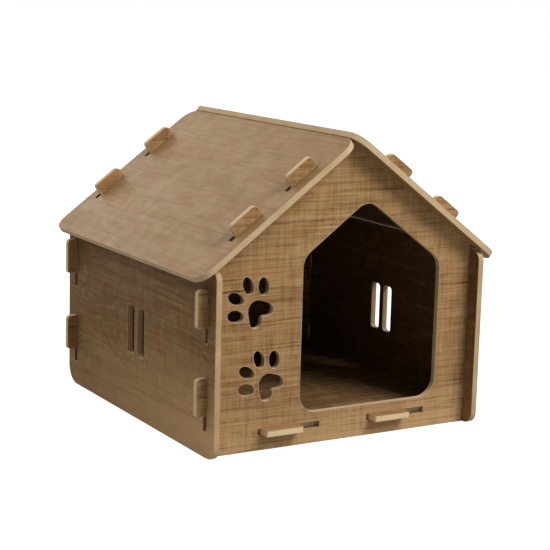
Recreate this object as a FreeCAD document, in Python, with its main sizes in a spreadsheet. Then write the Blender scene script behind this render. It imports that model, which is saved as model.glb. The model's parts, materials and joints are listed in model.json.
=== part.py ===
"""Flat-pack wooden cat house: seven boards that hook into each other without fasteners.

Frame: X to the right as seen from the front, Y to the back, Z up.
The origin is on the ground under the middle of the house.
All lengths are in millimetres and all angles in degrees.
"""

import FreeCAD, Part
import math
import os

import Sketcher

# Driving sizes. Each is kept in one cell of the sheet, under the same name.
SIZES = {
    # Stock and fits
    "board_thickness": 9.0,
    "fit_gap": 0.2,          # air between a board and the board that it seats on or passes through
    "slot_play": 0.5,        # spare length at each end of a slot while a hook head passes it
    "hook_root": 6.0,        # how deep a hook's own outline starts inside its board
    # Cabin
    "cabin_width": 432.0,    # between the inner faces of the two walls
    "house_depth": 500.0,    # front edge to back edge of walls and roof
    "gable_setback": 22.7,   # wall's front edge to the front gable's outer face, and the same behind
    # Walls
    "wall_height": 264.7,
    "wall_front_foot_radius": 18.0,
    "wall_back_foot_radius": 28.0,
    "wall_head_radius": 14.0,
    "window_width": 22.5,
    "window_height": 75.0,
    "window_sill": 95.0,     # ground to the lower end of a window
    "window_bar": 10.5,      # wood between the two windows of a wall
    "window_radius": 6.0,
    # Roof
    "roof_angle": 36.55,
    "eave_gap": 0.8,         # daylight between the wall's outer top edge and the roof's underside
    "eave_overhang": 27.4,   # down the slope, past the wall's outer face
    "roof_corner_radius": 25.0,
    "ridge_cover": 1.0,      # how far the right board's end stands above the left board's top face
    # Hooks of the gables in the walls
    "wall_hook_foot": 59.6,  # ground to the lower end of the lower hook
    "wall_hook_pitch": 124.0,
    "wall_hook_length": 54.0,
    "wall_hook_reach": 16.0,   # past the wall's outer face
    "wall_hook_grip": 22.0,    # how far the head reaches up past its slot
    "wall_hook_radius": 6.5,
    "wall_hook_toe_radius": 3.0,
    # Hooks of the gables in the roof boards, measured down the slope from the underside's apex
    "roof_hook_start": 64.5,
    "roof_hook_pitch": 108.0,
    "roof_hook_length": 49.0,
    "roof_hook_reach": 17.6,   # above the roof's top face
    "roof_hook_grip": 9.7,     # how far the head reaches up the slope past its slot
    "roof_hook_radius": 7.5,
    "roof_hook_toe_radius": 5.0,
    # Floor
    "floor_height": 22.0,    # ground to the floor's underside
    "floor_tab_length": 61.0,
    "floor_tab_centre": 91.5,  # middle of the house to the middle of a floor slot
    "floor_tab_shift": 15.0,   # tabs sit off the middle of their slots, so the floor fits both ways round
    "floor_tab_play": 5.5,     # free slot beyond the tab at its shifted end
    "floor_tab_reach": 16.0,   # past the gable's outer face
    "floor_tab_radius": 3.0,
    # Doorway in the front gable
    "door_left_post": 141.0,   # left wall to the left jamb
    "door_right_post": 55.0,   # right jamb to the right wall
    "door_sill": 45.8,       # ground to the sill
    "door_peak": 349.5,      # ground to the crossing of the two head slopes
    "door_peak_shift": 11.5,   # that crossing lies left of the doorway's middle
    "door_radius": 28.0,
    # Paw cut-outs in the front gable; a paw's own sizes are taken along and across its axis
    "paw_from_wall": 71.7,   # left wall to the upper paw's pad
    "paw_height": 197.7,     # ground to the upper paw's pad
    "paw_angle": 41.9,       # the paw's axis leans left from upright
    "paw_step_right": 19.7,  # from the upper paw to the lower one
    "paw_step_down": 106.2,
    "toe_inner_across": 12.8,
    "toe_inner_along": 42.4,
    "toe_inner_length": 26.3,
    "toe_inner_width": 16.4,
    "toe_inner_angle": 22.3,
    "toe_outer_across": 29.5,
    "toe_outer_along": 24.1,
    "toe_outer_length": 26.0,
    "toe_outer_width": 17.2,
    "toe_outer_angle": 37.2,
    "pad_crown_radius": 15.4,
    "pad_crown_along": 4.5,
    "pad_lobe_radius": 9.5,
    "pad_lobe_across": 12.4,
    "pad_lobe_along": -4.7,
    "pad_hollow_radius": 6.4,
}

SHEET_NAME = "Sizes"
PARTS_FOLDER = "parts"
SIDES = (("left", -1), ("right", 1))
ENDS = (("front", -1), ("back", 1))

# How closely an edge has to run square to its board, and how near to a sketched corner.
SQUARE_WITHIN = 1e-4
CORNER_WITHIN = 1e-3


class Size:
    """A length or an angle: its number, and the sheet formula that the document keeps for it."""

    def __init__(self, number, formula):
        self.number = number
        self.formula = formula

    def __add__(self, other):
        other = as_size(other)
        return Size(self.number + other.number, f"({self.formula} + {other.formula})")

    def __radd__(self, other):
        return as_size(other) + self

    def __sub__(self, other):
        other = as_size(other)
        return Size(self.number - other.number, f"({self.formula} - {other.formula})")

    def __rsub__(self, other):
        return as_size(other) - self

    def __mul__(self, other):
        other = as_size(other)
        return Size(self.number * other.number, f"({self.formula} * {other.formula})")

    def __rmul__(self, other):
        return as_size(other) * self

    def __truediv__(self, other):
        other = as_size(other)
        return Size(self.number / other.number, f"({self.formula} / {other.formula})")

    def __neg__(self):
        return self * -1


def as_size(value):
    if isinstance(value, Size):
        return value
    return Size(float(value), f"({value})")


def tangent(angle):
    return Size(math.tan(math.radians(angle.number)), f"tan({angle.formula})")


def cosine(angle):
    return Size(math.cos(math.radians(angle.number)), f"cos({angle.formula})")


def sine(angle):
    return Size(math.sin(math.radians(angle.number)), f"sin({angle.formula})")


def make_sheet(document):
    """Write every driving size to the sheet and return the sizes by name."""
    sheet = document.addObject("Spreadsheet::Sheet", SHEET_NAME)
    for row, (name, number) in enumerate(SIZES.items(), start=1):
        sheet.set(f"A{row}", name)
        sheet.set(f"B{row}", str(number))
        sheet.setAlias(f"B{row}", name)
    document.recompute()
    return {name: Size(number, f"{SHEET_NAME}.{name}") for name, number in SIZES.items()}


def bind(target, path, size):
    """Tie a property to the sheet."""
    target.setExpression(path, size.formula)


def bind_angle(target, path, size):
    target.setExpression(path, f"{size.formula} * 1 deg")


def new_body(document, name):
    body = document.addObject("PartDesign::Body", name)
    body.Label = name
    return body


def new_sketch(body, name, role):
    """A sketch flat on one of the body's own origin planes."""
    sketch = body.newObject("Sketcher::SketchObject", name)
    plane = next(item for item in body.Origin.OriginFeatures if item.Role == role)
    sketch.AttachmentSupport = [(plane, "")]
    sketch.MapMode = "FlatFace"
    return sketch


def pin_distance(sketch, kind, geometry, point, size):
    """Fix how far a point lies from the sketch's origin, to the right or upwards."""
    constraint = Sketcher.Constraint(kind, -1, 1, geometry, point, size.number)
    index = sketch.addConstraint(constraint)
    bind(sketch, f"Constraints[{index}]", size)


def pin_point(sketch, geometry, point, across, along):
    pin_distance(sketch, "DistanceX", geometry, point, as_size(across))
    pin_distance(sketch, "DistanceY", geometry, point, as_size(along))


def pin_radius(sketch, geometry, size):
    index = sketch.addConstraint(Sketcher.Constraint("Radius", geometry, size.number))
    bind(sketch, f"Constraints[{index}]", size)


def draw_polygon(sketch, corners):
    """A closed outline whose corners are each tied to the sheet."""
    corners = [(as_size(across), as_size(along)) for across, along in corners]
    points = [FreeCAD.Vector(across.number, along.number, 0) for across, along in corners]
    lines = [Part.LineSegment(start, end) for start, end in zip(points, points[1:] + points[:1])]
    first = sketch.GeometryCount
    sketch.addGeometry(lines, False)
    count = len(lines)
    for step in range(count):
        line = first + step
        following = first + (step + 1) % count
        sketch.addConstraint(Sketcher.Constraint("Coincident", line, 2, following, 1))
    for step, (across, along) in enumerate(corners):
        pin_point(sketch, first + step, 1, across, along)


def rectangle(low_across, high_across, low_along, high_along):
    return [
        (low_across, low_along),
        (high_across, low_along),
        (high_across, high_along),
        (low_across, high_along),
    ]


def pad_board(body, sketch, name, thickness):
    """Give an outline the board's thickness, half to each side of the sketch."""
    pad = body.newObject("PartDesign::Pad", name)
    pad.Profile = sketch
    pad.SideType = "Symmetric"
    bind(pad, "Length", thickness)
    body.Document.recompute()
    return pad


def cut_through(body, sketch, name):
    """Cut an outline through the whole board, and check that wood came away."""
    before = body.Tip.Shape.Volume
    pocket = body.newObject("PartDesign::Pocket", name)
    pocket.Profile = sketch
    pocket.SideType = "Symmetric"
    pocket.Type = "ThroughAll"
    body.Document.recompute()
    if pocket.Shape.isNull() or pocket.Shape.Volume >= before:
        raise RuntimeError(f"{body.Label}: {name} cut nothing")
    return pocket


def corner_edges(shape, sketch, corners):
    """Names of the edges that run through the board at the given corners of a sketch."""
    normal = sketch.Placement.Rotation.multVec(FreeCAD.Vector(0, 0, 1))
    names = []
    for across, along in corners:
        corner = FreeCAD.Vector(as_size(across).number, as_size(along).number, 0)
        corner = sketch.Placement.multVec(corner)
        for number, edge in enumerate(shape.Edges, start=1):
            start = edge.Vertexes[0].Point
            run = edge.Vertexes[-1].Point - start
            off = start - corner
            beside = off - normal * off.dot(normal)
            square = run.Length > SQUARE_WITHIN and run.cross(normal).Length < SQUARE_WITHIN
            if square and beside.Length < CORNER_WITHIN:
                names.append(f"Edge{number}")
    if len(names) < len(corners):
        raise RuntimeError("a corner to be rounded has no edge")
    return names


def round_corners(body, sketch, name, corners, radius):
    """Round corners of a board, given where its sketch has them."""
    base = body.Tip
    names = corner_edges(base.Shape, sketch, corners)
    fillet = body.newObject("PartDesign::Fillet", name)
    fillet.Base = (base, names)
    bind(fillet, "Radius", radius)
    body.Document.recompute()
    return fillet


def house_frame(size):
    """Places that more than one board needs, worked out once from the driving sizes."""
    board = size["board_thickness"]
    gap = size["fit_gap"]
    pitch = size["roof_angle"]
    inner = size["cabin_width"] / 2
    outer = inner + board
    # The left board ends where its top edge clears the right board's underside.
    double = pitch * 2
    left_top = (gap + board * cosine(double)) / sine(double)
    right_top = -((board + size["ridge_cover"]) / sine(double))
    return {
        "wall_inner": inner,
        "wall_outer": outer,
        "peak": size["wall_height"] + size["eave_gap"] + outer * tangent(pitch),
        "gable_middle": size["house_depth"] / 2 - size["gable_setback"] - board / 2,
        "slot_width": board + gap * 2,
        "eave": outer / cosine(pitch) + size["eave_overhang"],
        "roof_top": {"left": left_top, "right": right_top},
    }


def wall_hook_feet(size):
    return [size["wall_hook_foot"], size["wall_hook_foot"] + size["wall_hook_pitch"]]


def roof_hook_starts(size):
    return [size["roof_hook_start"], size["roof_hook_start"] + size["roof_hook_pitch"]]


def floor_slots(size):
    """The two floor slots of a gable, as their left and right ends."""
    half = size["floor_tab_length"] / 2 + size["floor_tab_shift"] + size["floor_tab_play"]
    spans = []
    for _, side in SIDES:
        middle = size["floor_tab_centre"] * side
        spans.append((middle - half, middle + half))
    return spans


def side_panel(document, size, frame, side_name, side):
    """A side wall: rounded board, four upright slots for the gables' hooks, two windows."""
    body = new_body(document, f"{side_name}_side_panel")
    half_depth = size["house_depth"] / 2
    top = size["wall_height"]

    outline = new_sketch(body, "Outline", "YZ_Plane")
    draw_polygon(outline, rectangle(-half_depth, half_depth, 0, top))
    pad_board(body, outline, "Board", size["board_thickness"])
    round_corners(body, outline, "FrontFootCorner", [(-half_depth, 0)], size["wall_front_foot_radius"])
    round_corners(body, outline, "BackFootCorner", [(half_depth, 0)], size["wall_back_foot_radius"])
    round_corners(body, outline, "HeadCorners", [(-half_depth, top), (half_depth, top)], size["wall_head_radius"])

    # The panel is pushed over the heads and then drops, so its slots end on top of the necks.
    slots = new_sketch(body, "HookSlots", "YZ_Plane")
    neck = size["wall_hook_length"] - size["wall_hook_grip"]
    for _, end in ENDS:
        middle = frame["gable_middle"] * end
        for foot in wall_hook_feet(size):
            slot_top = foot + neck + size["fit_gap"]
            slot_foot = slot_top - size["wall_hook_length"] - size["slot_play"] * 2
            half_slot = frame["slot_width"] / 2
            draw_polygon(slots, rectangle(middle - half_slot, middle + half_slot, slot_foot, slot_top))
    cut_through(body, slots, "HookSlotCuts")

    windows = new_sketch(body, "Windows", "YZ_Plane")
    corners = []
    for _, end in ENDS:
        near = size["window_bar"] / 2 * end
        far = (size["window_bar"] / 2 + size["window_width"]) * end
        low, high = (far, near) if end < 0 else (near, far)
        window = rectangle(low, high, size["window_sill"], size["window_sill"] + size["window_height"])
        draw_polygon(windows, window)
        corners += window
    cut_through(body, windows, "WindowCuts")
    round_corners(body, windows, "WindowCorners", corners, size["window_radius"])

    bind(body, "Placement.Base.x", (frame["wall_inner"] + size["board_thickness"] / 2) * side)
    return body


def add_wall_hooks(body, size, frame, side_name, side):
    """Two hooks on one upright edge of a gable: neck through the wall, head up its outer face."""
    gap = size["fit_gap"]
    root = frame["wall_inner"] - gap - size["hook_root"]
    throat = frame["wall_outer"] + gap
    tip = frame["wall_outer"] + size["wall_hook_reach"]
    sketch = new_sketch(body, f"WallHooks_{side_name}", "XZ_Plane")
    heads = []
    toes = []
    for foot in wall_hook_feet(size):
        head_top = foot + size["wall_hook_length"]
        neck_top = head_top - size["wall_hook_grip"]
        outline = [
            (root, foot),
            (tip, foot),
            (tip, head_top),
            (throat, head_top),
            (throat, neck_top),
            (root, neck_top),
        ]
        draw_polygon(sketch, [(across * side, along) for across, along in outline])
        heads.append((tip * side, head_top))
        toes.append((tip * side, foot))
    pad_board(body, sketch, f"WallHookBoards_{side_name}", size["board_thickness"])
    round_corners(body, sketch, f"WallHookHeads_{side_name}", heads, size["wall_hook_radius"])
    round_corners(body, sketch, f"WallHookToes_{side_name}", toes, size["wall_hook_toe_radius"])


def add_roof_hooks(body, size, frame, side_name, side):
    """Two hooks on one sloping edge of a gable: neck through the roof, head up the slope.

    The sketch lies along the slope: its origin is the apex of the roof's underside, its first
    axis runs with the slope and its second axis points up out of the roof.
    """
    gap = size["fit_gap"]
    root = -(gap + size["hook_root"])
    throat = size["board_thickness"] + gap
    tip = size["board_thickness"] + size["roof_hook_reach"]
    sketch = new_sketch(body, f"RoofHooks_{side_name}", "XZ_Plane")
    bind(sketch, "AttachmentOffset.Base.y", frame["peak"])
    bind_angle(sketch, "AttachmentOffset.Rotation.Angle", size["roof_angle"] * -side)
    heads = []
    toes = []
    for start in roof_hook_starts(size):
        end = start + size["roof_hook_length"]
        neck = start + size["roof_hook_grip"]
        outline = [
            (neck, root),
            (end, root),
            (end, tip),
            (start, tip),
            (start, throat),
            (neck, throat),
        ]
        draw_polygon(sketch, [(along * side, height) for along, height in outline])
        heads.append((start * side, tip))
        toes.append((end * side, tip))
    pad_board(body, sketch, f"RoofHookBoards_{side_name}", size["board_thickness"])
    round_corners(body, sketch, f"RoofHookHeads_{side_name}", heads, size["roof_hook_radius"])
    round_corners(body, sketch, f"RoofHookToes_{side_name}", toes, size["roof_hook_toe_radius"])


def cut_door(body, size, frame):
    """The doorway: upright jambs, level sill and two head slopes that run with the roof."""
    left = size["door_left_post"] - frame["wall_inner"]
    right = frame["wall_inner"] - size["door_right_post"]
    peak = size["door_peak"]
    peak_at = (left + right) / 2 - size["door_peak_shift"]
    fall = tangent(size["roof_angle"])
    corners = [
        (left, size["door_sill"]),
        (right, size["door_sill"]),
        (right, peak - (right - peak_at) * fall),
        (peak_at, peak),
        (left, peak - (peak_at - left) * fall),
    ]
    sketch = new_sketch(body, "Door", "XZ_Plane")
    draw_polygon(sketch, corners)
    cut_through(body, sketch, "DoorCut")
    round_corners(body, sketch, "DoorCorners", corners, size["door_radius"])


def draw_toe(sketch, across, along, length, width, lean):
    """An oval toe; lean turns its long axis clockwise from the paw's axis."""
    turn = math.radians(90 - lean.number)
    middle = FreeCAD.Vector(across.number, along.number, 0)
    long_half = FreeCAD.Vector(math.cos(turn), math.sin(turn), 0) * (length.number / 2)
    wide_half = FreeCAD.Vector(-math.sin(turn), math.cos(turn), 0) * (width.number / 2)
    ellipse = sketch.addGeometry(Part.Ellipse(middle + long_half, middle + wide_half, middle), False)
    sketch.exposeInternalGeometry(ellipse)
    long_axis = ellipse + 1
    wide_axis = ellipse + 2
    pin_point(sketch, ellipse, 3, across, along)
    for axis, span in ((long_axis, length), (wide_axis, width)):
        index = sketch.addConstraint(Sketcher.Constraint("Distance", axis, span.number))
        bind(sketch, f"Constraints[{index}]", span)
    # The axis line runs from its far end back, so its angle is half a turn further round.
    start = sketch.Geometry[long_axis].StartPoint
    end = sketch.Geometry[long_axis].EndPoint
    heading = 90 - lean if (end - start).dot(long_half) > 0 else -90 - lean
    index = sketch.addConstraint(Sketcher.Constraint("Angle", long_axis, math.radians(heading.number)))
    bind_angle(sketch, f"Constraints[{index}]", heading)


def touching_points(crown, lobe):
    """Where the straight flank right of the pad touches the crown circle and the lobe circle."""
    (crown_middle, crown_radius), (lobe_middle, lobe_radius) = crown, lobe
    line = lobe_middle - crown_middle
    lift = math.acos((crown_radius - lobe_radius) / line.Length)
    bearing = math.atan2(line.y, line.x) + lift
    way = FreeCAD.Vector(math.cos(bearing), math.sin(bearing), 0)
    return crown_middle + way * crown_radius, lobe_middle + way * lobe_radius


def arc_between(middle, start, end):
    """The arc that runs anticlockwise about a middle from one point to another."""
    from_middle = start - middle
    to_middle = end - middle
    first = math.atan2(from_middle.y, from_middle.x)
    last = math.atan2(to_middle.y, to_middle.x)
    circle = Part.Circle(middle, FreeCAD.Vector(0, 0, 1), from_middle.Length)
    return Part.ArcOfCircle(circle, first, last if last > first else last + 2 * math.pi)


def draw_pad(sketch, size):
    """The paw's pad: a round crown, straight flanks, two round lobes and a hollow heel."""
    crown_middle = FreeCAD.Vector(0, size["pad_crown_along"].number, 0)
    crown_radius = size["pad_crown_radius"].number
    lobe_right = FreeCAD.Vector(size["pad_lobe_across"].number, size["pad_lobe_along"].number, 0)
    lobe_left = FreeCAD.Vector(-lobe_right.x, lobe_right.y, 0)
    lobe_radius = size["pad_lobe_radius"].number
    hollow_radius = size["pad_hollow_radius"].number
    drop = math.sqrt((hollow_radius + lobe_radius) ** 2 - lobe_right.x ** 2)
    hollow_middle = FreeCAD.Vector(0, lobe_right.y - drop, 0)

    crown_point, lobe_point = touching_points((crown_middle, crown_radius), (lobe_right, lobe_radius))
    heel_point = lobe_right + (hollow_middle - lobe_right).normalize() * lobe_radius
    crown_mirror, lobe_mirror, heel_mirror = [
        FreeCAD.Vector(-point.x, point.y, 0) for point in (crown_point, lobe_point, heel_point)
    ]
    crown, flank_left, left, hollow, right, flank_right = sketch.addGeometry([
        arc_between(crown_middle, crown_point, crown_mirror),
        Part.LineSegment(crown_mirror, lobe_mirror),
        arc_between(lobe_left, lobe_mirror, heel_mirror),
        arc_between(hollow_middle, heel_point, heel_mirror),
        arc_between(lobe_right, heel_point, lobe_point),
        Part.LineSegment(lobe_point, crown_point),
    ], False)
    start, end, middle = 1, 2, 3
    joints = [
        (crown, end, flank_left, start),
        (flank_left, end, left, start),
        (left, end, hollow, end),
        (hollow, start, right, start),
        (right, end, flank_right, start),
        (flank_right, end, crown, start),
    ]
    for joint in joints:
        sketch.addConstraint(Sketcher.Constraint("Tangent", *joint))
    pin_point(sketch, crown, middle, 0, size["pad_crown_along"])
    pin_point(sketch, right, middle, size["pad_lobe_across"], size["pad_lobe_along"])
    pin_point(sketch, left, middle, -size["pad_lobe_across"], size["pad_lobe_along"])
    pin_radius(sketch, crown, size["pad_crown_radius"])
    pin_radius(sketch, right, size["pad_lobe_radius"])
    pin_radius(sketch, left, size["pad_lobe_radius"])
    pin_radius(sketch, hollow, size["pad_hollow_radius"])


def cut_paw(body, size, name, across, along):
    """One paw cut-out: four oval toes and a pad, drawn upright and then leant over."""
    sketch = new_sketch(body, name, "XZ_Plane")
    bind(sketch, "AttachmentOffset.Base.x", across)
    bind(sketch, "AttachmentOffset.Base.y", along)
    bind_angle(sketch, "AttachmentOffset.Rotation.Angle", size["paw_angle"])
    for _, side in SIDES:
        for toe in ("toe_inner", "toe_outer"):
            draw_toe(
                sketch,
                size[f"{toe}_across"] * side,
                size[f"{toe}_along"],
                size[f"{toe}_length"],
                size[f"{toe}_width"],
                size[f"{toe}_angle"] * side,
            )
    draw_pad(sketch, size)
    cut_through(body, sketch, f"{name}Cut")


def gable_panel(document, size, frame, end_name, end):
    """A gable: house-shaped board with hooks on all upper edges and two slots for the floor."""
    body = new_body(document, f"{end_name}_panel")
    gap = size["fit_gap"]
    half = frame["wall_inner"] - gap
    apex = frame["peak"] - gap / cosine(size["roof_angle"])
    shoulder = apex - half * tangent(size["roof_angle"])

    outline = new_sketch(body, "Outline", "XZ_Plane")
    draw_polygon(outline, [(-half, 0), (half, 0), (half, shoulder), (0, apex), (-half, shoulder)])
    pad_board(body, outline, "Board", size["board_thickness"])
    for side_name, side in SIDES:
        add_wall_hooks(body, size, frame, side_name, side)
        add_roof_hooks(body, size, frame, side_name, side)

    slots = new_sketch(body, "FloorSlots", "XZ_Plane")
    low = size["floor_height"] - gap
    high = size["floor_height"] + size["board_thickness"] + gap
    for left, right in floor_slots(size):
        draw_polygon(slots, rectangle(left, right, low, high))
    cut_through(body, slots, "FloorSlotCuts")

    if end_name == "front":
        cut_door(body, size, frame)
        across = size["paw_from_wall"] - frame["wall_inner"]
        along = size["paw_height"]
        cut_paw(body, size, "UpperPaw", across, along)
        cut_paw(body, size, "LowerPaw", across + size["paw_step_right"], along - size["paw_step_down"])

    bind(body, "Placement.Base.y", frame["gable_middle"] * end)
    return body


def floor_panel(document, size, frame):
    """The floor: a board between walls and gables, with two straight tabs through each gable."""
    body = new_body(document, "floor_panel")
    gap = size["fit_gap"]
    board = size["board_thickness"]
    half_width = frame["wall_inner"] - gap
    half_depth = frame["gable_middle"] - board / 2 - gap
    tip = frame["gable_middle"] + board / 2 + size["floor_tab_reach"]

    outline = new_sketch(body, "Outline", "XY_Plane")
    draw_polygon(outline, rectangle(-half_width, half_width, -half_depth, half_depth))
    pad_board(body, outline, "Board", board)

    # The back tabs are the front ones after half a turn about the upright middle line.
    tabs = new_sketch(body, "Tabs", "XY_Plane")
    corners = []
    half_tab = size["floor_tab_length"] / 2
    root = half_depth - size["hook_root"]
    for _, end in ENDS:
        for _, side in SIDES:
            middle = size["floor_tab_centre"] * side + size["floor_tab_shift"] * end
            left = middle - half_tab
            right = middle + half_tab
            low, high = (-tip, -root) if end < 0 else (root, tip)
            draw_polygon(tabs, rectangle(left, right, low, high))
            corners += [(left, tip * end), (right, tip * end)]
    pad_board(body, tabs, "TabBoards", board)
    round_corners(body, tabs, "TabCorners", corners, size["floor_tab_radius"])

    bind(body, "Placement.Base.z", size["floor_height"] + board / 2)
    return body


def roof_panel(document, size, frame, side_name, side):
    """A roof board, drawn flat in slope coordinates and then tilted about the ridge.

    Along the sketch's first axis lies the distance from the apex of the roof's underside,
    counted down the slope and negative on the left half.
    """
    body = new_body(document, f"{side_name}_roof_panel")
    half_depth = size["house_depth"] / 2
    top = frame["roof_top"][side_name]
    eave = frame["eave"]
    board = size["board_thickness"]

    outline = new_sketch(body, "Outline", "XY_Plane")
    low, high = (-eave, -top) if side < 0 else (top, eave)
    corners = rectangle(low, high, -half_depth, half_depth)
    draw_polygon(outline, corners)
    pad_board(body, outline, "Board", board)
    round_corners(body, outline, "Corners", corners, size["roof_corner_radius"])

    # The board slides down until its slots rest against the upper side of the necks.
    slots = new_sketch(body, "HookSlots", "XY_Plane")
    half_slot = frame["slot_width"] / 2
    for start in roof_hook_starts(size):
        slot_top = start + size["roof_hook_grip"] - size["fit_gap"]
        slot_end = slot_top + size["roof_hook_length"] + size["slot_play"] * 2
        low, high = (-slot_end, -slot_top) if side < 0 else (slot_top, slot_end)
        for _, end in ENDS:
            middle = frame["gable_middle"] * end
            draw_polygon(slots, rectangle(low, high, middle - half_slot, middle + half_slot))
    cut_through(body, slots, "HookSlotCuts")

    # The underside passes through the apex, so the board's middle plane lies half a board above it.
    lift = board / 2
    body.Placement = FreeCAD.Placement(FreeCAD.Vector(), FreeCAD.Rotation(FreeCAD.Vector(0, 1, 0), 1))
    bind(body, "Placement.Base.x", lift * sine(size["roof_angle"]) * side)
    bind(body, "Placement.Base.z", frame["peak"] + lift * cosine(size["roof_angle"]))
    bind_angle(body, "Placement.Rotation.Angle", size["roof_angle"] * side)
    return body


def check(document, bodies):
    """Stop if anything in the document failed or a board isn't one sound solid."""
    for item in document.Objects:
        if "Invalid" in item.State or "Error" in item.State:
            raise RuntimeError(f"{item.Label} failed: {item.State}")
    for body in bodies:
        shape = body.Shape
        if shape.isNull() or not shape.isValid() or len(shape.Solids) != 1:
            raise RuntimeError(f"{body.Label} isn't one sound solid")


def main():
    document = FreeCAD.newDocument("CatHouse")
    size = make_sheet(document)
    frame = house_frame(size)
    bodies = []
    for end_name, end in ENDS:
        bodies.append(gable_panel(document, size, frame, end_name, end))
    for side_name, side in SIDES:
        bodies.append(side_panel(document, size, frame, side_name, side))
        bodies.append(roof_panel(document, size, frame, side_name, side))
    bodies.append(floor_panel(document, size, frame))
    document.recompute()
    check(document, bodies)

    os.makedirs(PARTS_FOLDER, exist_ok=True)
    for body in bodies:
        body.Shape.exportStep(os.path.join(PARTS_FOLDER, f"{body.Label}.step"))
        box = body.Shape.BoundBox
        print(
            f"{body.Label}: {box.XLength:.1f} x {box.YLength:.1f} x {box.ZLength:.1f} mm, "
            f"z {box.ZMin:.1f} to {box.ZMax:.1f}, {body.Shape.Volume / 1000:.0f} cm3"
        )


main()
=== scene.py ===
"""Dressed model of the flat-pack wooden cat house.

Every board of the construction model is redrawn with broken edges and given two finishes:
a printed sawn-oak face and the raw fibre of its sawn edges.  The stage adds the pale floor,
the soft lamps and the camera.  Lengths are in metres; X is to the right as seen from the
front, Y to the back and Z up.
"""

import json
import math
from typing import NamedTuple

import bmesh
import bpy
from bpy.props import FloatProperty, FloatVectorProperty, PointerProperty
from bpy.types import Operator, Panel, PropertyGroup
from mathutils import Matrix, Vector
from mathutils.bvhtree import BVHTree


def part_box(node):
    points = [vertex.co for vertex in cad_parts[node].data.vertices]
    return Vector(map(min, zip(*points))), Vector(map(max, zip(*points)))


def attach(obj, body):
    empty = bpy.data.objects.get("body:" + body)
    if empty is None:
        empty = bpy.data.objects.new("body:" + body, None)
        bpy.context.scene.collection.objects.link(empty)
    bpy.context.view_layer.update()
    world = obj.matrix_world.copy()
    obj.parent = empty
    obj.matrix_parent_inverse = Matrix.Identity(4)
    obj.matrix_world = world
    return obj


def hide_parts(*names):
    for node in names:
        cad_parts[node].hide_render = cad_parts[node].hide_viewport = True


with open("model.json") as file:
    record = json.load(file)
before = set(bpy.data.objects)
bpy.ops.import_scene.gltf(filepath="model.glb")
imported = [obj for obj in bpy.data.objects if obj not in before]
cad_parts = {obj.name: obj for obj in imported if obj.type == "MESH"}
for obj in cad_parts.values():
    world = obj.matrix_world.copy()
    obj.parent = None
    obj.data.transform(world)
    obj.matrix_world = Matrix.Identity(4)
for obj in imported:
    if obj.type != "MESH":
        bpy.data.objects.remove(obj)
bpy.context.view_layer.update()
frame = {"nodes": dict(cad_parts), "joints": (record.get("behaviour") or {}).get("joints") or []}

bl_info = {
    "name": "Flat-pack cat house",
    "version": (1, 0, 0),
    "blender": (4, 5, 0),
    "location": "3D Viewport > Sidebar > Cat House",
    "description": "Dresses the boards of the cat house and sets the studio around it",
    "category": "Object",
}

WIDTHWAYS = Vector((1, 0, 0))
DEPTHWAYS = Vector((0, 1, 0))
UPRIGHT = Vector((0, 0, 1))

# The right roof board slides up its own slope, so its joint gives the pitch of the roof.
SLOPE = Vector(frame["joints"][0]["axis"]).normalized()
RIGHT_ROOF_NORMAL = SLOPE.cross(DEPTHWAYS) * -1
LEFT_ROOF_NORMAL = Vector((-RIGHT_ROOF_NORMAL.x, 0, RIGHT_ROOF_NORMAL.z))

# How the construction meshes are cleaned up before their edges are broken.
SAME_POINT = 1e-5
FLAT_WITHIN = math.radians(0.5)
CORNER_FROM = math.radians(30)
SHARP_FROM = math.radians(36)
ON_THE_FACE = 0.995
SIDEWAYS = 0.1

# Attributes that the materials read.
RIM = "rim"
NARROW = "narrow"

# How far past the inner faces of the walls and gables, and above the slope of the gables, the
# painted indoor shade still reaches.
INDOOR_MARGIN = 0.0003
ROOF_MARGIN = 0.003

# Painted shade: a cut face is darkened in full where the gap before it is at most the first width,
# and not at all from the second width up, standing in for the dimmer light inside narrow slots.
FULL_SHADE_GAP = 0.012
NO_SHADE_GAP = 0.030
SLOT_SHADE_SHARE = 0.60
EDGE_GLOSS = 0.1

# The studio: the floor lies a little below the feet, its glow grows between two distances
# from the middle of the house, and all lamps look at one point.  The camera's lens is given
# for a sensor of this width, in millimetres.
FLOOR_DROP = 0.0003
FLOOR_ROUGHNESS = 0.9
GLOW_DISTANCES = (0.5, 2.0)
LAMP_AIM = Vector((0, 0, 0.2))
SENSOR_WIDTH = 36


class Print(NamedTuple):
    """How the print on one kind of board differs from the others."""

    sway: float  # how far its grain lines waver
    arches: float  # how strong its growth rings are
    saw_marks: float
    mottling: float
    gloss: float
    bounce_height: float = 0.001  # how far up the painted bounce light reaches, standing in for light thrown up off the floor
    bounce_tones: tuple = (0.0, 0.0)  # how strong that painted light is, at one end of the board and at the other


PRINTS = {
    "gable": Print(0.003, 0.04, 1.0, 1.0, 0.06, bounce_height=0.085, bounce_tones=(0.68, 1.0)),
    "wall": Print(0.012, 0.38, 0.8, 0.7, 0.03, bounce_height=0.170, bounce_tones=(0.25, 0.95)),
    "floor": Print(0.010, 0.15, 0.8, 0.8, 0.03),
    "roof": Print(0.022, 0.25, 0.5, 0.8, 0.12),
}
# How far from a board's middle the painted bounce light reaches its least and its greatest
# strength.
BOUNCE_REACH = 0.24


class Noise(NamedTuple):
    """A field of noise: waves per metre in each direction, shift, detail and roughness."""

    scale: tuple
    shift: tuple = (0, 0, 0)
    detail: float = 2.0
    roughness: float = 0.5


class Lines(NamedTuple):
    """Thin dark lines where a noise crosses its middle, full only in patches of the board."""

    path: Noise
    width: float
    patches: Noise
    fades_in: tuple  # levels of the patches between which the lines appear
    least: float  # what is left of the lines outside the patches
    darkness: float


class Swing(NamedTuple):
    """A noise that darkens the print where it is low and lightens it where it is high."""

    field: Noise
    amount: float


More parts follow.
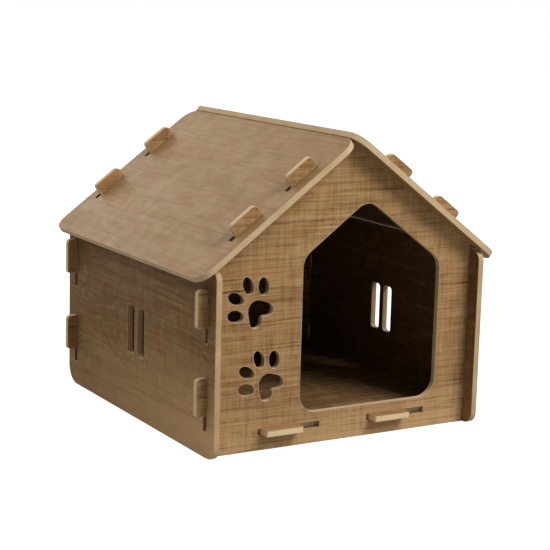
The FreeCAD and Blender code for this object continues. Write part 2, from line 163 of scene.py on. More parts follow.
class Tint(NamedTuple):
    """Patches where the print is multiplied by a colour."""

    field: Noise
    fades_in: tuple
    most: float
    colour: tuple


# The middle level of every noise.
MIDDLE = 0.5

# The printed oak.  Places are measured along the grain, across it and through the board.
SWAY = Noise((3.1, 6.0, 5.0), (4.1, 2.7, 0.3), detail=1.5)
STRONG_GRAIN = Lines(
    path=Noise((0.8, 90, 60), (3, 9, 4), detail=1.5), width=0.034,
    patches=Noise((14, 90, 30), (5, 1, 2)), fades_in=(0.42, 0.60), least=0.0, darkness=0.48,
)
SLIGHT_GRAIN = Lines(
    path=Noise((1.8, 140, 90), (7, 3, 1), detail=1.5), width=0.048,
    patches=Noise((20, 120, 30), (8, 2, 6)), fades_in=(0.35, 0.60), least=0.45, darkness=0.40,
)
SAW_CUTS = Lines(
    path=Noise((90, 6, 60), (6, 2, 7), detail=1.5), width=0.045,
    patches=Noise((24, 26, 30), (9, 4, 1)), fades_in=(0.46, 0.62), least=0.0, darkness=0.14,
)
SAW_TEETH = Lines(
    path=Noise((130, 16, 60), (4, 6, 2), detail=1.0), width=0.06,
    patches=Noise((26, 34, 30), (1, 4, 9)), fades_in=(0.40, 0.60), least=0.3, darkness=0.20,
)
FINE_GRAIN = Swing(Noise((9, 230, 90), detail=3.0, roughness=0.65), 1.35)
GRAIN_BANDS = Swing(Noise((4.5, 48, 60), (2, 7, 5), detail=3.0, roughness=0.55), 0.22)
WEFT = Swing(Noise((260, 14, 90), (2, 9, 5), roughness=0.6), 0.80)
CLOUDS = Swing(Noise((34, 48, 40), (2, 6, 8), detail=4.0, roughness=0.62), 0.60)
DRIFT = Swing(Noise((5, 12, 30), (6, 3, 9)), 0.35)
RUST = Tint(Noise((30, 46, 40), (2, 6, 8), detail=3.0), (0.42, 0.62), 0.85, (1.0, 0.86, 0.84))
OLIVE = Tint(Noise((26, 42, 40), (5, 3, 2), detail=3.0), (0.46, 0.68), 0.6, (0.90, 0.98, 0.84))
# Growth rings are the waves that a smooth noise goes through, kept in patches.
ARCHES = Noise((6.0, 11.0, 30), (1.3, 5.2, 0), detail=1.2, roughness=0.4)
RING_WAVES = 110
RING_EDGE = (0.1, 1.0)
RING_PATCHES = Noise((5, 13, 30), (8, 8, 2))
RING_FADES_IN = (0.46, 0.60)
# Taken off the sum of all marks, so that they leave the middle tone of the board as it is.
MEAN_SHADE = 0.20
# How strongly the pale marks draw the tone towards that of the lightest grain.
LIGHTENING = 0.85
# Dark marks are rougher than pale ones: two shades, and the roughness at each.
OAK_SHADES = (-0.2, 0.4)
OAK_ROUGHNESS = (0.50, 0.66)

# The raw fibre of the sawn edges.  The dense skins begin and are full at these shares of the
# way from the middle of the board to its faces.
SKIN_DEPTHS = (0.62, 0.98)
SKIN_STRENGTH = 0.7
LAYERS = Noise((55, 55, 1900), detail=3.0, roughness=0.6)
SPECKS = Noise((1300, 1300, 1300), (3, 1, 4))
FIBRE_CLOUDS = Noise((24, 24, 60), (1, 6, 3))
DARK_FIBRE = (0.22, 0.13, 0.06)
DARK_FIBRE_SHARE = 0.5
PALE_FIBRE = (0.90, 0.76, 0.55)
PALE_FIBRE_SHARE = 0.6
# Two levels of the specks, and the roughness at each.
SPECK_LEVELS = (0.3, 0.7)
FIBRE_ROUGHNESS = (0.74, 0.90)

# Wear along the edges of a print: chips reach down to the fibre, and rubbing only pales it.
# Each appears between two levels of the wear.
RAGGED = Noise((420, 420, 420), detail=3.0, roughness=0.65)
RAGGED_SHARE = 0.9
SPOTS = Noise((38, 38, 38), (2, 5, 1))
SPOTS_SHARE = 0.6
CHIPPED_LEVELS = (0.60, 0.72)
RUBBED_LEVELS = (0.05, 0.75)
RUBBED_MOST = 0.45


def linear(red, green, blue):
    """A colour written as screen levels from 0 to 255, as the shader wants it."""
    levels = (red / 255, green / 255, blue / 255)
    return tuple(
        level / 12.92 if level <= 0.04045 else ((level + 0.055) / 1.055) ** 2.4
        for level in levels
    )


# The tone that the painted bounce light lifts the bottom of a board towards, and the tone of the
# print's lightest grain.
BOUNCE_TONE = linear(196, 158, 112)
PALE_GRAIN = linear(206, 170, 118)


def colour_choice(name, description, default):
    return FloatVectorProperty(
        name=name, description=description, default=default, subtype="COLOR", min=0, max=1
    )


def contrast_choice(name, boards, default):
    return FloatProperty(
        name=name, description=f"Strength of the printed grain and saw marks on the {boards}",
        default=default, min=0, max=2, subtype="FACTOR",
    )


class BoardFinish(PropertyGroup):
    """Sizes and colours of the boards' finish."""

    edge_break: FloatProperty(
        name="Edge break",
        description="Width of the small bevel along every sawn edge",
        default=0.0004, min=0.0001, max=0.001, precision=5, unit="LENGTH",
    )
    rim_width: FloatProperty(
        name="Worn rim",
        description="How far from its edges a printed face shows wear",
        default=0.0016, min=0.0005, max=0.004, precision=5, unit="LENGTH",
    )
    gable_oak: colour_choice("Gable oak", "Middle tone of the gables' print", linear(156, 122, 82))
    wall_oak: colour_choice("Wall oak", "Middle tone of the walls' print", linear(120, 90, 57))
    floor_oak: colour_choice("Floor oak", "Middle tone of the floor's print", linear(156, 122, 80))
    # Painted shade: a darker tone for the faces inside the house, standing in for the dimmer light
    # indoors.
    indoor_shade_oak: colour_choice(
        "Inner oak", "Middle tone of the faces inside the house", linear(112, 85, 55)
    )
    roof_oak: colour_choice("Roof oak", "Middle tone of the roof's print", linear(147, 116, 76))
    oak_dark: colour_choice("Dark grain", "Tone of grain lines and saw marks", linear(84, 48, 22))
    gable_fibre: colour_choice("Gable fibre", "Sawn edges of the gables", linear(210, 183, 145))
    wall_fibre: colour_choice("Wall fibre", "Sawn edges of the walls", linear(190, 159, 117))
    # Painted light: the floor's sawn edges are paler than those of the other boards of the same
    # stock, standing in for light that its tabs lack.
    floor_fibre: colour_choice("Floor fibre", "Sawn edges of the floor", linear(234, 206, 163))
    roof_fibre: colour_choice("Roof fibre", "Sawn edges of the roof", linear(200, 171, 132))
    fibre_skin: colour_choice("Dense skin", "Outer layers of a sawn edge", linear(178, 148, 108))
    # Painted shade: the tone that cut faces in narrow slots are darkened towards, standing in for
    # the dimmer light inside them.
    slot_shade: colour_choice("Slot_shade", "Smoke stain on the cut faces of narrow slots", linear(70, 48, 26))
    gable_contrast: contrast_choice("Gable grain", "gables", 1.1)
    wall_contrast: contrast_choice("Wall grain", "walls", 0.42)
    floor_contrast: contrast_choice("Floor grain", "floor", 0.8)
    roof_contrast: contrast_choice("Roof grain", "roof", 0.26)


class StudioSettings(PropertyGroup):
    """The pale floor, the lamps and the camera."""

    camera_place: FloatVectorProperty(
        name="Camera place", description="Where the camera stands",
        default=(-1.21051, -2.06338, 0.65244), subtype="TRANSLATION", unit="LENGTH",
    )
    camera_heading: FloatProperty(
        name="Heading", description="Turn of the view from straight ahead towards the right",
        default=math.radians(30.679), subtype="ANGLE",
    )
    camera_dip: FloatProperty(
        name="Dip", description="How far the view points down from level",
        default=math.radians(10.67), subtype="ANGLE",
    )
    camera_roll: FloatProperty(
        name="Roll", description="Turn of the picture about the line of sight",
        default=math.radians(1.545), subtype="ANGLE",
    )
    lens: FloatProperty(
        name="Lens", description="Focal length of the camera in millimetres",
        default=102.55, min=20, max=300, unit="CAMERA",
    )
    floor_tone: FloatProperty(
        name="Floor tone", description="How much of the light the pale floor throws back",
        default=0.5, min=0, max=1, subtype="FACTOR",
    )
    floor_glow: FloatProperty(
        name="Floor glow", description="Brightness of the floor near the house, to the eye",
        default=0.80, min=0, max=1, subtype="FACTOR",
    )
    floor_size: FloatProperty(
        name="Floor", description="Side of the square floor", default=14, min=2, unit="LENGTH",
    )
    key_power: FloatProperty(
        name="Key lamp", description="Power of the lamp above the front, on its right",
        default=94, min=0, unit="POWER",
    )
    back_power: FloatProperty(
        name="Back lamp", description="Power of the lamp behind the house",
        default=38, min=0, unit="POWER",
    )
    left_power: FloatProperty(
        name="Left lamp", description="Power of the large lamp above the left side",
        default=32, min=0, unit="POWER",
    )
    surround: FloatProperty(
        name="Surround", description="Brightness of the room around the house",
        default=0.15, min=0, max=2,
    )


class Recipe:
    """A shader node tree that is filled in one node after another."""

    def __init__(self, tree):
        self.tree = tree
        tree.nodes.clear()

    def node(self, kind, **settings):
        made = self.tree.nodes.new(kind)
        for name, value in settings.items():
            setattr(made, name, value)
        return made

    def feed(self, socket, source):
        """Gives a socket another node's output, or a value of its own."""
        if isinstance(source, bpy.types.NodeSocket):
            self.tree.links.new(source, socket)
        elif hasattr(source, "__len__") and len(socket.default_value) == len(source) + 1:
            socket.default_value = (*source, 1)
        else:
            socket.default_value = source

    def maths(self, operation, *sources):
        made = self.node("ShaderNodeMath", operation=operation)
        for socket, source in zip(made.inputs, sources):
            self.feed(socket, source)
        return made.outputs[0]

    def parts(self, place):
        """The three coordinates of a place."""
        made = self.node("ShaderNodeSeparateXYZ")
        self.feed(made.inputs[0], place)
        return made.outputs

    def stretched(self, place, scale, shift):
        """The place, scaled and shifted apart in each direction."""
        made = self.node("ShaderNodeVectorMath", operation="MULTIPLY_ADD")
        self.feed(made.inputs[0], place)
        self.feed(made.inputs[1], scale)
        self.feed(made.inputs[2], shift)
        return made.outputs[0]

    def noise(self, place, field):
        made = self.node("ShaderNodeTexNoise")
        self.feed(made.inputs["Vector"], self.stretched(place, field.scale, field.shift))
        made.inputs["Scale"].default_value = 1
        made.inputs["Detail"].default_value = field.detail
        made.inputs["Roughness"].default_value = field.roughness
        return made.outputs[0]

    def contour(self, value, width):
        """Thin lines where a noise crosses its middle."""
        off = self.maths("ABSOLUTE", self.maths("SUBTRACT", value, MIDDLE))
        return self.ramp(off, width, 0.0)

    def ramp(self, value, low, high, to_low=0.0, to_high=1.0):
        """Takes a value from one range smoothly to another, and holds it there."""
        made = self.node("ShaderNodeMapRange", interpolation_type="SMOOTHSTEP")
        for socket, source in zip(made.inputs, (value, low, high, to_low, to_high)):
            self.feed(socket, source)
        return made.outputs[0]

    def blend(self, share, first, second, mode="MIX"):
        """Mixes two colours, which are the seventh and eighth inputs of Blender's Mix node."""
        made = self.node("ShaderNodeMix", data_type="RGBA", blend_type=mode)
        self.feed(made.inputs[0], share)
        self.feed(made.inputs[6], first)
        self.feed(made.inputs[7], second)
        return made.outputs[2]

    def effect(self, group, **sources):
        """Places a shared effect and feeds its inputs by name."""
        made = self.node("ShaderNodeGroup", node_tree=group)
        for name, source in sources.items():
            self.feed(made.inputs[name.replace("_", " ")], source)
        return made.outputs


def new_effect(name, inputs, outputs):
    """An empty shared effect with its sockets; returns its recipe and its two ends."""
    tree = bpy.data.node_groups.new(name, "ShaderNodeTree")
    for direction, sockets in (("INPUT", inputs), ("OUTPUT", outputs)):
        for socket, kind in sockets.items():
            tree.interface.new_socket(
                name=socket, in_out=direction, socket_type=f"NodeSocket{kind}"
            )
    recipe = Recipe(tree)
    return recipe, recipe.node("NodeGroupInput").outputs, recipe.node("NodeGroupOutput").inputs


def wavering(recipe, place, sway):
    """The place with its y pushed to and fro, so that grain lines waver along their length."""
    push = recipe.maths("SUBTRACT", recipe.noise(place, SWAY), MIDDLE)
    along, across, through = recipe.parts(place)
    joined = recipe.node("ShaderNodeCombineXYZ")
    recipe.feed(joined.inputs[0], along)
    recipe.feed(
        joined.inputs[1], recipe.maths("ADD", across, recipe.maths("MULTIPLY", push, sway))
    )
    recipe.feed(joined.inputs[2], through)
    return joined.outputs[0]


def sawn_oak():
    """Printed sawn oak: grain along x, saw marks across it, and patches of other tones.

    Place is in metres, with x along the grain, y across it and z through the board.
    """
    if "Sawn oak" in bpy.data.node_groups:
        return bpy.data.node_groups["Sawn oak"]
    recipe, given, made = new_effect(
        "Sawn oak",
        {"Place": "Vector", "Oak": "Color", "Dark": "Color", "Contrast": "Float",
         "Saw marks": "Float", "Sway": "Float", "Arches": "Float", "Mottling": "Float",
         "Foot": "Float"},
        {"Color": "Color", "Height": "Float", "Roughness": "Float"},
    )
    place = given["Place"]
    wavy = wavering(recipe, place, given["Sway"])

    def patchy(mask, patches, fades_in, least):
        """The mask, full in some patches of the board and down to its least in others."""
        share = recipe.ramp(recipe.noise(place, patches), *fades_in, least, 1.0)
        return recipe.maths("MULTIPLY", mask, share)

    def drawn(lines, laid_on):
        strokes = recipe.contour(recipe.noise(laid_on, lines.path), lines.width)
        strokes = patchy(strokes, lines.patches, lines.fades_in, lines.least)
        return recipe.maths("MULTIPLY", strokes, lines.darkness)

    def swung(swing, laid_on):
        off = recipe.maths("SUBTRACT", MIDDLE, recipe.noise(laid_on, swing.field))
        return recipe.maths("MULTIPLY", off, swing.amount)

    # Shade is above nought where a mark is dark and below it where the print is pale.
    rings = recipe.maths("MULTIPLY", recipe.noise(place, ARCHES), RING_WAVES)
    rings = recipe.ramp(recipe.maths("SINE", rings), *RING_EDGE)
    rings = patchy(rings, RING_PATCHES, RING_FADES_IN, 0.0)
    saw = recipe.maths("ADD", drawn(SAW_CUTS, place), drawn(SAW_TEETH, place))
    shade = recipe.maths("MULTIPLY", rings, given["Arches"])
    for layer in (
        drawn(STRONG_GRAIN, wavy), drawn(SLIGHT_GRAIN, wavy),
        swung(FINE_GRAIN, wavy), swung(GRAIN_BANDS, wavy), swung(WEFT, place),
        recipe.maths("MULTIPLY", given["Saw marks"], saw),
    ):
        shade = recipe.maths("ADD", shade, layer)
    shade = recipe.maths("SUBTRACT", shade, MEAN_SHADE)
    shade = recipe.maths("MULTIPLY", shade, given["Contrast"])
    for swing in (CLOUDS, DRIFT):
        mottle = recipe.maths("MULTIPLY", swung(swing, place), given["Mottling"])
        shade = recipe.maths("ADD", shade, mottle)

    tone = given["Oak"]
    for tint in (RUST, OLIVE):
        share = recipe.ramp(recipe.noise(place, tint.field), *tint.fades_in, 0.0, tint.most)
        share = recipe.maths("MULTIPLY", share, given["Mottling"])
        tone = recipe.blend(share, tone, tint.colour, "MULTIPLY")
    # Painted light: the bounce mask lifts the tone towards a paler one, standing in for light
    # thrown up off the floor.
    tone = recipe.blend(given["Foot"], tone, BOUNCE_TONE)
    darker = recipe.blend(recipe.maths("MAXIMUM", shade, 0), tone, given["Dark"])
    lighter = recipe.maths("MULTIPLY", recipe.maths("MINIMUM", shade, 0), -LIGHTENING)
    recipe.feed(made["Color"], recipe.blend(lighter, darker, PALE_GRAIN))
    recipe.feed(made["Height"], recipe.maths("SUBTRACT", 0.5, shade))
    recipe.feed(made["Roughness"], recipe.ramp(shade, *OAK_SHADES, *OAK_ROUGHNESS))
    return recipe.tree


def raw_fibre():
    """The sawn edge of a pressed-fibre board: dense skins, thin layers and fine specks."""
    if "Raw fibre" in bpy.data.node_groups:
        return bpy.data.node_groups["Raw fibre"]
    recipe, given, made = new_effect(
        "Raw fibre",
        {"Place": "Vector", "Fibre": "Color", "Skin": "Color", "Half thickness": "Float"},
        {"Color": "Color", "Height": "Float", "Roughness": "Float"},
    )
    place = given["Place"]
    depth = recipe.maths("ABSOLUTE", recipe.parts(place)[2])
    depth = recipe.maths("DIVIDE", depth, given["Half thickness"])
    skin = recipe.ramp(depth, *SKIN_DEPTHS, 0.0, SKIN_STRENGTH)
    layers = recipe.noise(place, LAYERS)
    specks = recipe.noise(place, SPECKS)
    clouds = recipe.noise(place, FIBRE_CLOUDS)
    shade = recipe.maths("SUBTRACT", layers, MIDDLE)
    for field in (specks, clouds):
        shade = recipe.maths("ADD", shade, recipe.maths("SUBTRACT", field, MIDDLE))
    tone = recipe.blend(skin, given["Fibre"], given["Skin"])
    darker = recipe.maths("MULTIPLY", recipe.maths("MAXIMUM", shade, 0), DARK_FIBRE_SHARE)
    tone = recipe.blend(darker, tone, DARK_FIBRE)
    lighter = recipe.maths("MULTIPLY", recipe.maths("MINIMUM", shade, 0), -PALE_FIBRE_SHARE)
    recipe.feed(made["Color"], recipe.blend(lighter, tone, PALE_FIBRE))
    recipe.feed(made["Height"], recipe.maths("ADD", layers, specks))
    recipe.feed(made["Roughness"], recipe.ramp(specks, *SPECK_LEVELS, *FIBRE_ROUGHNESS))
    return recipe.tree


def worn_rim():
    """Where the print is rubbed or chipped off along a board's edges."""
    if "Worn rim" in bpy.data.node_groups:
        return bpy.data.node_groups["Worn rim"]
    recipe, given, made = new_effect(
        "Worn rim", {"Place": "Vector", "Rim": "Float"}, {"Chipped": "Float", "Rubbed": "Float"}
    )
    place = given["Place"]
    reach = recipe.maths(
        "ADD", recipe.maths("MULTIPLY", recipe.noise(place, RAGGED), RAGGED_SHARE),
        recipe.maths("MULTIPLY", recipe.noise(place, SPOTS), SPOTS_SHARE),
    )
    # The rim is one on the edge itself, where only the noises decide what is bared.
    bared = recipe.maths("SUBTRACT", recipe.maths("ADD", given["Rim"], reach), 1.0)
    recipe.feed(made["Chipped"], recipe.ramp(bared, *CHIPPED_LEVELS))
    recipe.feed(made["Rubbed"], recipe.ramp(bared, *RUBBED_LEVELS, 0.0, RUBBED_MOST))
    return recipe.tree


def board_place(recipe, node, along, normal, shift):
    """Object coordinates turned to a board: x along its grain, y across it, z through it."""
    turn = Matrix((along, normal.cross(along), normal))
    low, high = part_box(node)
    middle = turn @ ((low + high) / 2)
    source = recipe.node("ShaderNodeTexCoord")
    place = recipe.node("ShaderNodeMapping", vector_type="POINT")
    recipe.feed(place.inputs["Vector"], source.outputs["Object"])
    place.inputs["Rotation"].default_value = turn.to_euler("XYZ")
    place.inputs["Location"].default_value = (shift[0], shift[1], -middle.z)
    return place.outputs[0]


def new_material(name):
    made = bpy.data.materials.new(name)
    made.use_nodes = True
    recipe = Recipe(made.node_tree)
    shader = recipe.node("ShaderNodeBsdfPrincipled")
    output = recipe.node("ShaderNodeOutputMaterial")
    recipe.feed(output.inputs["Surface"], shader.outputs[0])
    return made, recipe, shader.inputs


def relief(recipe, height, strength, distance):
    bump = recipe.node("ShaderNodeBump")
    bump.inputs["Strength"].default_value = strength
    bump.inputs["Distance"].default_value = distance
    recipe.feed(bump.inputs["Height"], height)
    return bump.outputs[0]


def indoors(recipe, place):
    """One on the faces inside the house, between its walls and gables and under its roof."""
    inner_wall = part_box("right_side_panel")[0].x
    inner_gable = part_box("back_panel")[0].y
    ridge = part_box("back_panel")[1].z
    fall = SLOPE.z / abs(SLOPE.x)
    across = recipe.maths("ABSOLUTE", place[0])
    back = recipe.maths("ABSOLUTE", place[1])
    under = recipe.maths("ADD", place[2], recipe.maths("MULTIPLY", across, fall))
    mask = recipe.maths("LESS_THAN", across, inner_wall + INDOOR_MARGIN)
    for value, limit in ((back, inner_gable + INDOOR_MARGIN), (under, ridge + ROOF_MARGIN)):
        mask = recipe.maths("MULTIPLY", mask, recipe.maths("LESS_THAN", value, limit))
    return mask


def printed_face(node, along, normal, shift, slot, finish):
    """The printed oak of one board, laid along its own grain."""
    made, recipe, shader = new_material(f"{node} printed oak")
    place = board_place(recipe, node, along, normal, shift)
    boards = slot.removesuffix("_board")
    traits = PRINTS[boards]
    in_house = recipe.parts(recipe.node("ShaderNodeTexCoord").outputs["Object"])
    inside = indoors(recipe, in_house)
    # Painted light: outside the house the bottom of a board is paler, more so towards one end of
    # the board, standing in for light thrown up off the floor.
    bounce_strength = recipe.ramp(
        recipe.parts(place)[0], shift[0] - BOUNCE_REACH, shift[0] + BOUNCE_REACH, *traits.bounce_tones
    )
    painted_bounce = recipe.ramp(in_house[2], traits.bounce_height, 0.0, 0.0, bounce_strength)
    painted_bounce = recipe.maths("MULTIPLY", painted_bounce, recipe.maths("SUBTRACT", 1.0, inside))
    # Painted shade: faces inside the house take the darker indoor tone.
    tone = recipe.blend(inside, getattr(finish, f"{boards}_oak"), finish.indoor_shade_oak)
    oak = recipe.effect(
        sawn_oak(), Place=place, Oak=tone, Dark=finish.oak_dark,
        Contrast=getattr(finish, f"{boards}_contrast"), Saw_marks=traits.saw_marks,
        Sway=traits.sway, Arches=traits.arches, Mottling=traits.mottling, Foot=painted_bounce,
    )
    rim = recipe.node("ShaderNodeAttribute", attribute_type="GEOMETRY", attribute_name=RIM)
    wear = recipe.effect(worn_rim(), Place=place, Rim=rim.outputs["Fac"])
    rubbed = recipe.blend(wear["Rubbed"], oak["Color"], finish.fibre_skin)
    bare = getattr(finish, f"{boards}_fibre")
    recipe.feed(shader["Base Color"], recipe.blend(wear["Chipped"], rubbed, bare))
    recipe.feed(shader["Roughness"], oak["Roughness"])
    recipe.feed(shader["Normal"], relief(recipe, oak["Height"], strength=0.3, distance=0.0004))
    shader["Specular IOR Level"].default_value = traits.gloss
    return made


def sawn_edge(node, along, normal, shift, slot, finish):
    """The raw edge of one board, darkened by painted shade where it faces a narrow gap."""
    made, recipe, shader = new_material(f"{node} raw edge")
    place = board_place(recipe, node, along, normal, shift)
    bare = getattr(finish, f"{slot.removesuffix('_board')}_fibre")
    fibre = recipe.effect(
        raw_fibre(), Place=place, Fibre=bare, Skin=finish.fibre_skin,
        Half_thickness=board_thickness() / 2,
    )
    narrow = recipe.node("ShaderNodeAttribute", attribute_type="GEOMETRY", attribute_name=NARROW)
    # Painted shade: cut faces across a narrow gap are darkened towards the slot shade tone.
    painted_shade = recipe.maths("MULTIPLY", narrow.outputs["Fac"], SLOT_SHADE_SHARE)
    recipe.feed(shader["Base Color"], recipe.blend(painted_shade, fibre["Color"], finish.slot_shade))
    recipe.feed(shader["Roughness"], fibre["Roughness"])
    recipe.feed(shader["Normal"], relief(recipe, fibre["Height"], strength=0.4, distance=0.0003))
    shader["Specular IOR Level"].default_value = EDGE_GLOSS
    return made


def board_thickness():
    """All boards are cut from one stock; the floor lies flat, so its box gives the thickness."""
    low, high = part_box("floor_panel")
    return high.z - low.z


def merged_copy(node):
    """A bmesh copy of a construction mesh, its loose triangles merged into flat faces."""
    shape = bmesh.new()
    shape.from_mesh(frame["nodes"][node].data)
    bmesh.ops.remove_doubles(shape, verts=shape.verts, dist=SAME_POINT)
    bmesh.ops.dissolve_limit(
        shape, angle_limit=FLAT_WITHIN, verts=shape.verts, edges=shape.edges, delimit={"NORMAL"}
    )
    return shape


def break_edges(shape, width):
    """Gives every sharp edge of the board a small round."""
    corners = [edge for edge in shape.edges if edge.calc_face_angle(0) > CORNER_FROM]
    bmesh.ops.bevel(
        shape, geom=corners, offset=width, offset_type="OFFSET", affect="EDGES",
        segments=2, profile=0.5, material=-1, clamp_overlap=True,
    )


def rimmed_faces(shape, normal, width):
    """Insets the board's two flat faces and marks their rims; returns all printed faces."""
    printed = [face for face in shape.faces if abs(face.normal.dot(normal)) > ON_THE_FACE]
    ring = bmesh.ops.inset_region(
        shape, faces=printed, thickness=width, depth=0,
        use_boundary=True, use_even_offset=True,
    )["faces"]
    printed = set(printed) | set(ring)
    rim = shape.verts.layers.float.new(RIM)
    for vert in shape.verts:
        vert[rim] = 0.0 if all(face in printed for face in vert.link_faces) else 1.0
    return printed


def mark_narrow_gaps(shape, normal):
    """Marks the cut faces that look across a narrow gap at another face of the same board, for the
    painted shade in narrow slots.
    """
    narrow = shape.verts.layers.float.new(NARROW)
    solid = BVHTree.FromBMesh(shape)
    for face in shape.faces:
        if abs(face.normal.dot(normal)) > SIDEWAYS:
            continue
        gap = solid.ray_cast(face.calc_center_median() + face.normal * SAME_POINT, face.normal)[3]
        painted_shade = 0 if gap is None else (NO_SHADE_GAP - gap) / (NO_SHADE_GAP - FULL_SHADE_GAP)
        for vert in face.verts:
            vert[narrow] = max(vert[narrow], min(1, painted_shade))


def dressed_board(node, along, normal, shift, body, slot):
    """One board with broken edges, a worn rim on its printed faces, and its two finishes.

    Shift takes each board's print from a part of the oak that no other board shows.
    """
    finish = bpy.context.scene.cat_house_finish
    shape = merged_copy(node)
    break_edges(shape, finish.edge_break)
    printed = rimmed_faces(shape, normal, finish.rim_width)
    if not printed:
        raise RuntimeError(f"{node} has no printed face")
    mark_narrow_gaps(shape, normal)
    for face in shape.faces:
        face.smooth = True
        face.material_index = 0 if face in printed else 1
    for edge in shape.edges:
        edge.smooth = edge.calc_face_angle(0) < SHARP_FROM
    mesh = bpy.data.meshes.new(f"dressed_{node}")
    shape.to_mesh(mesh)
    shape.free()
    mesh.materials.append(printed_face(node, along, normal, shift, slot, finish))
    mesh.materials.append(sawn_edge(node, along, normal, shift, slot, finish))
    piece = bpy.data.objects.new(f"dressed_{node}", mesh)
    bpy.context.scene.collection.objects.link(piece)
    even = piece.modifiers.new("Even shading", "WEIGHTED_NORMAL")
    even.keep_sharp = True
    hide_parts(node)
    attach(piece, body)


class CATHOUSE_OT_gables(Operator):
    """Dress the front gable, with its doorway and paw cut-outs, and the back gable"""

    bl_idname = "cat_house.gables"
    bl_label = "Gables"

    def execute(self, context):
        dressed_board("front_panel", WIDTHWAYS, DEPTHWAYS * -1, (0.0, 0.0), "house", "gable_board")
        dressed_board("back_panel", WIDTHWAYS * -1, DEPTHWAYS, (3.0, 1.0), "house", "gable_board")
        return {"FINISHED"}


class CATHOUSE_OT_walls(Operator):
    """Dress the two walls with their window slots"""

    bl_idname = "cat_house.walls"
    bl_label = "Walls"

    def execute(self, context):
        dressed_board(
            "left_side_panel", DEPTHWAYS * -1, WIDTHWAYS * -1, (5.0, 2.0), "house", "wall_board"
        )
        dressed_board("right_side_panel", DEPTHWAYS, WIDTHWAYS, (8.0, 3.0), "house", "wall_board")
        return {"FINISHED"}


class CATHOUSE_OT_floor(Operator):
    """Dress the raised floor"""

    bl_idname = "cat_house.floor"
    bl_label = "Floor"

    def execute(self, context):
        dressed_board("floor_panel", WIDTHWAYS, UPRIGHT, (11.0, 4.0), "house", "floor_board")
        return {"FINISHED"}


class CATHOUSE_OT_roof(Operator):
    """Dress the two roof boards; the right one rides on its own body and slides up its slope"""

    bl_idname = "cat_house.roof"
    bl_label = "Roof"

    def execute(self, context):
        dressed_board(
            "left_roof_panel", DEPTHWAYS * -1, LEFT_ROOF_NORMAL, (14.0, 5.0),
            "house", "roof_board",
        )
        dressed_board(
            "right_roof_panel", DEPTHWAYS, RIGHT_ROOF_NORMAL, (17.0, 6.0),
            "right_roof", "roof_board",
        )
        return {"FINISHED"}


def sees_background(recipe):
    """One for the rays that show the background: from the camera, off gloss or through glass."""
    rays = recipe.node("ShaderNodeLightPath").outputs
    seen = recipe.maths("MAXIMUM", rays["Is Camera Ray"], rays["Is Glossy Ray"])
    return recipe.maths("MAXIMUM", seen, rays["Is Transmission Ray"])


def pale_floor(studio):
    """A square of floor just under the house, white to the eye, with the house's soft shadow."""
    shape = bmesh.new()
    bmesh.ops.create_grid(shape, x_segments=1, y_segments=1, size=studio.floor_size / 2)
    bmesh.ops.translate(shape, verts=shape.verts, vec=(0, 0, -FLOOR_DROP))
    mesh = bpy.data.meshes.new("studio_floor")
    shape.to_mesh(mesh)
    shape.free()
    floor = bpy.data.objects.new("studio_floor", mesh)
    bpy.context.scene.collection.objects.link(floor)

    made, recipe, shader = new_material("Pale floor")
    shader["Base Color"].default_value = (*[studio.floor_tone] * 3, 1)
    shader["Roughness"].default_value = FLOOR_ROUGHNESS
    shader["Specular IOR Level"].default_value = 0.0
    # The glow is plain white far off, less around the house and gone beneath it.
    where = recipe.parts(recipe.node("ShaderNodeTexCoord").outputs["Object"])
    across = recipe.maths("ABSOLUTE", where[0])
    back = recipe.maths("ABSOLUTE", where[1])
    reach = recipe.maths("MAXIMUM", across, back)
    glow = recipe.ramp(reach, *GLOW_DISTANCES, studio.floor_glow, 1.0)
    outside = recipe.maths(
        "MAXIMUM", recipe.maths("GREATER_THAN", across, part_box("right_side_panel")[1].x),
        recipe.maths("GREATER_THAN", back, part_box("back_panel")[0].y + board_thickness()),
    )
    seen = recipe.maths("MULTIPLY", sees_background(recipe), outside)
    shader["Emission Color"].default_value = (1, 1, 1, 1)
    recipe.feed(shader["Emission Strength"], recipe.maths("MULTIPLY", seen, glow))
    mesh.materials.append(made)


def surround(studio):
    """Soft light from all round, in which the camera and glossy faces see plain white."""
    world = bpy.data.worlds.new("Studio")
    bpy.context.scene.world = world
    world.use_nodes = True
    recipe = Recipe(world.node_tree)
    background = recipe.node("ShaderNodeBackground")
    output = recipe.node("ShaderNodeOutputWorld")
    recipe.feed(background.inputs["Color"], (1, 1, 1))
    strength = recipe.ramp(sees_background(recipe), 0, 1, studio.surround, 1.0)
    recipe.feed(background.inputs["Strength"], strength)
    recipe.feed(output.inputs["Surface"], background.outputs[0])


def soft_lamp(name, towards, distance, size, power):
    """A square lamp that stands off in one direction and looks back at the house."""
    data = bpy.data.lights.new(name, "AREA")
    data.shape = "SQUARE"
    data.size = size
    data.energy = power
    lamp = bpy.data.objects.new(name, data)
    direction = Vector(towards).normalized()
    lamp.location = LAMP_AIM + direction * distance
    lamp.rotation_euler = direction.to_track_quat("Z", "Y").to_euler()
    bpy.context.scene.collection.objects.link(lamp)


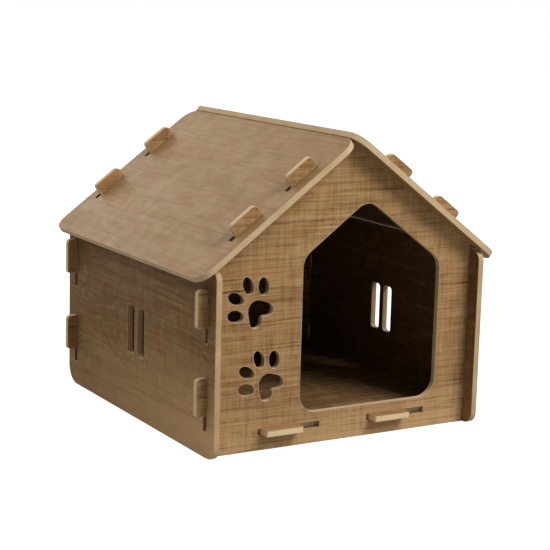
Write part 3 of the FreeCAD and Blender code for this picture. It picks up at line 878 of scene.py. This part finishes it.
def camera(studio):
    """The camera, at the photograph's viewing angle."""
    heading, dip, roll = studio.camera_heading, studio.camera_dip, studio.camera_roll
    turn = (
        Matrix.Rotation(-heading, 3, "Z")
        @ Matrix.Rotation(math.pi / 2 - dip, 3, "X")
        @ Matrix.Rotation(roll, 3, "Z")
    )
    data = bpy.data.cameras.new("Camera")
    data.sensor_width = SENSOR_WIDTH
    data.lens = studio.lens
    seen_from = bpy.data.objects.new("Camera", data)
    seen_from.matrix_world = Matrix.Translation(studio.camera_place) @ turn.to_4x4()
    bpy.context.scene.collection.objects.link(seen_from)
    bpy.context.scene.camera = seen_from


class CATHOUSE_OT_stage(Operator):
    """Set the pale floor, the soft lamps and the camera"""

    bl_idname = "cat_house.stage"
    bl_label = "Stage"

    def execute(self, context):
        studio = context.scene.cat_house_studio
        pale_floor(studio)
        surround(studio)
        soft_lamp(
            "key_lamp", (0.55, -1.0, 1.15), distance=3.2, size=1.6, power=studio.key_power
        )
        soft_lamp(
            "back_lamp", (-5.6, 33.0, 15.8), distance=3.4, size=2.0, power=studio.back_power
        )
        soft_lamp(
            "left_lamp", (-0.75, 0.30, 0.85), distance=3.2, size=2.2, power=studio.left_power
        )
        camera(studio)
        context.scene.view_settings.view_transform = "Standard"
        return {"FINISHED"}


OPERATORS = (
    CATHOUSE_OT_gables,
    CATHOUSE_OT_walls,
    CATHOUSE_OT_floor,
    CATHOUSE_OT_roof,
    CATHOUSE_OT_stage,
)


class CATHOUSE_PT_panel(Panel):
    """Sidebar list of the steps that dress the house"""

    bl_idname = "CATHOUSE_PT_panel"
    bl_label = "Cat House"
    bl_space_type = "VIEW_3D"
    bl_region_type = "UI"
    bl_category = "Cat House"

    def draw(self, context):
        for operator in OPERATORS:
            self.layout.operator(operator.bl_idname)


CLASSES = (BoardFinish, StudioSettings, *OPERATORS, CATHOUSE_PT_panel)


def register():
    for entry in CLASSES:
        bpy.utils.register_class(entry)
    bpy.types.Scene.cat_house_finish = PointerProperty(type=BoardFinish)
    bpy.types.Scene.cat_house_studio = PointerProperty(type=StudioSettings)


def unregister():
    del bpy.types.Scene.cat_house_studio
    del bpy.types.Scene.cat_house_finish
    for entry in reversed(CLASSES):
        bpy.utils.unregister_class(entry)


def main():
    register()
    bpy.ops.cat_house.gables()
    bpy.ops.cat_house.walls()
    bpy.ops.cat_house.floor()
    bpy.ops.cat_house.roof()
    bpy.ops.cat_house.stage()


if __name__ == "__main__":
    main()
